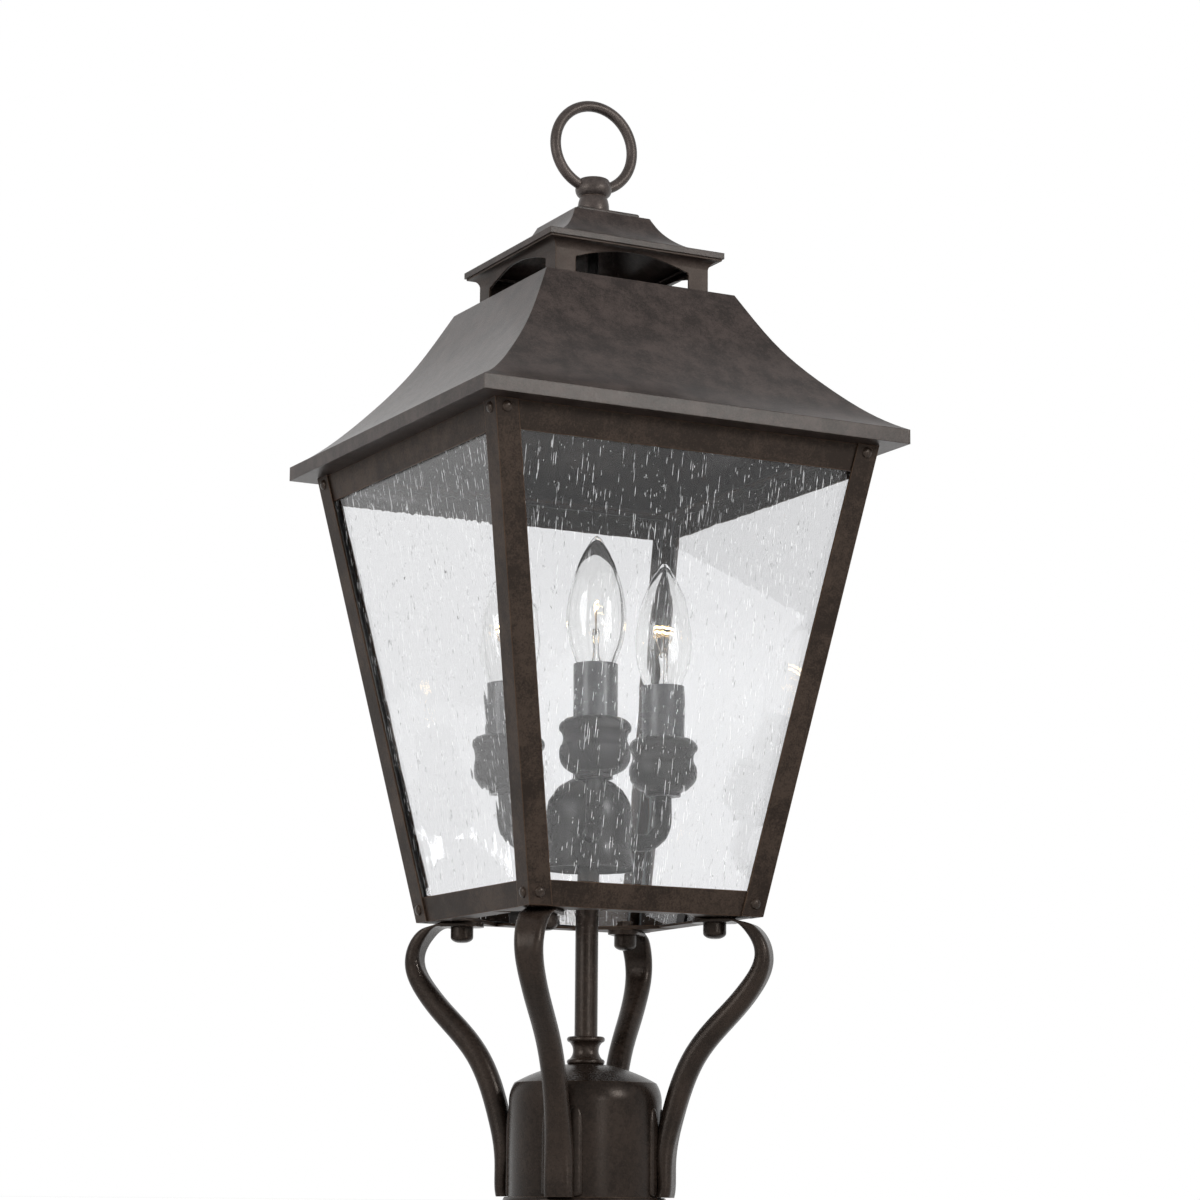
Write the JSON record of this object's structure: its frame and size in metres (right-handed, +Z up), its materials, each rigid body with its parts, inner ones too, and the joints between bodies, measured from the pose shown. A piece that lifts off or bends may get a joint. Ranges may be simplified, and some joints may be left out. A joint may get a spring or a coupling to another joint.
{
  "type": "post top lantern",
  "caption": "Square tapered post top lantern with seeded glass panes, a candle lamp cluster, a vented concave hood, a loop finial and scroll legs on a round post fitter.",
  "frame": {"origin": "centre of the fitter's bottom rim, where the lantern meets the post", "axes": "+Z up along the post, X and Y square to the four glazed sides; the loop finial lies along X"},
  "size_m": [0.255, 0.255, 0.6143],
  "materials": {
    "dark_bronze": "satin",
    "zinc_steel": "satin",
    "seeded_glass": "seeded",
    "socket_shell": "matte",
    "bulb_brass": "satin",
    "bulb_glass": "clear",
    "filament": "lit"
  },
  "bodies": {
    "lantern": {"bottom_rail_1": "dark_bronze", "bottom_rail_2": "dark_bronze", "bottom_rail_3": "dark_bronze", "bottom_rail_4": "dark_bronze", "candle_arm_1": "dark_bronze", "candle_arm_2": "dark_bronze", "candle_arm_3": "dark_bronze", "candle_dish_1": "dark_bronze", "candle_dish_2": "dark_bronze", "candle_dish_3": "dark_bronze", "candle_sleeve_1": "dark_bronze", "candle_sleeve_2": "dark_bronze", "candle_sleeve_3": "dark_bronze", "cap": "dark_bronze", "cap_bolt": "zinc_steel", "cap_crossbar": "zinc_steel", "corner_gussets": "dark_bronze", "corner_post_1": "dark_bronze", "corner_post_2": "dark_bronze", "corner_post_3": "dark_bronze", "corner_post_4": "dark_bronze", "cup_top_nut": "dark_bronze", "cup_under_nut": "zinc_steel", "fitter_cup": "dark_bronze", "frame_rivets": "dark_bronze", "glass_clips": "zinc_steel", "glass_pane_1": "seeded_glass", "glass_pane_2": "seeded_glass", "glass_pane_3": "seeded_glass", "glass_pane_4": "seeded_glass", "hood": "dark_bronze", "lamp_sockets": "socket_shell", "leg_cap_nuts": "dark_bronze", "leg_studs": "zinc_steel", "scroll_leg_1": "dark_bronze", "scroll_leg_2": "dark_bronze", "scroll_leg_3": "dark_bronze", "scroll_leg_4": "dark_bronze", "stem_collar": "dark_bronze", "stem_lock_nut": "zinc_steel", "stem_tube": "dark_bronze", "top_rail_1": "dark_bronze", "top_rail_2": "dark_bronze", "top_rail_3": "dark_bronze", "top_rail_4": "dark_bronze", "vent_gallery": "dark_bronze", "wiring_cup": "dark_bronze"},
    "finial": {"finial_knob": "dark_bronze", "finial_ring": "dark_bronze"},
    "screw_1": {"fitter_screw_1": "dark_bronze"},
    "screw_2": {"fitter_screw_2": "dark_bronze"},
    "bulb_1": {"bulb_1_base": "bulb_brass", "bulb_1_glass": "bulb_glass", "bulb_1_filament": "filament"},
    "bulb_2": {"bulb_2_base": "bulb_brass", "bulb_2_glass": "bulb_glass", "bulb_2_filament": "filament"},
    "bulb_3": {"bulb_3_base": "bulb_brass", "bulb_3_glass": "bulb_glass", "bulb_3_filament": "filament"}
  },
  "joints": [
    {"name": "finial_turn", "type": "hinge", "parent": "lantern", "child": "finial", "pos_m": [0, 0, 0.55], "axis": [0, 0, 1], "continuous": true},
    {"name": "bulb_1_turn", "type": "hinge", "parent": "lantern", "child": "bulb_1", "pos_m": [-0.01993, -0.04476, 0.264], "axis": [0, 0, 1], "continuous": true},
    {"name": "bulb_2_turn", "type": "hinge", "parent": "lantern", "child": "bulb_2", "pos_m": [0.04873, 0.00512, 0.264], "axis": [0, 0, 1], "continuous": true},
    {"name": "bulb_3_turn", "type": "hinge", "parent": "lantern", "child": "bulb_3", "pos_m": [-0.0288, 0.03964, 0.264], "axis": [0, 0, 1], "continuous": true},
    {"name": "screw_1_travel", "type": "slide", "parent": "lantern", "child": "screw_1", "axis": [-1, 0, 0], "range_m": [-0.0015, 0.0015]},
    {"name": "screw_2_travel", "type": "slide", "parent": "lantern", "child": "screw_2", "axis": [0, -1, 0], "range_m": [-0.0015, 0.0015]}
  ]
}
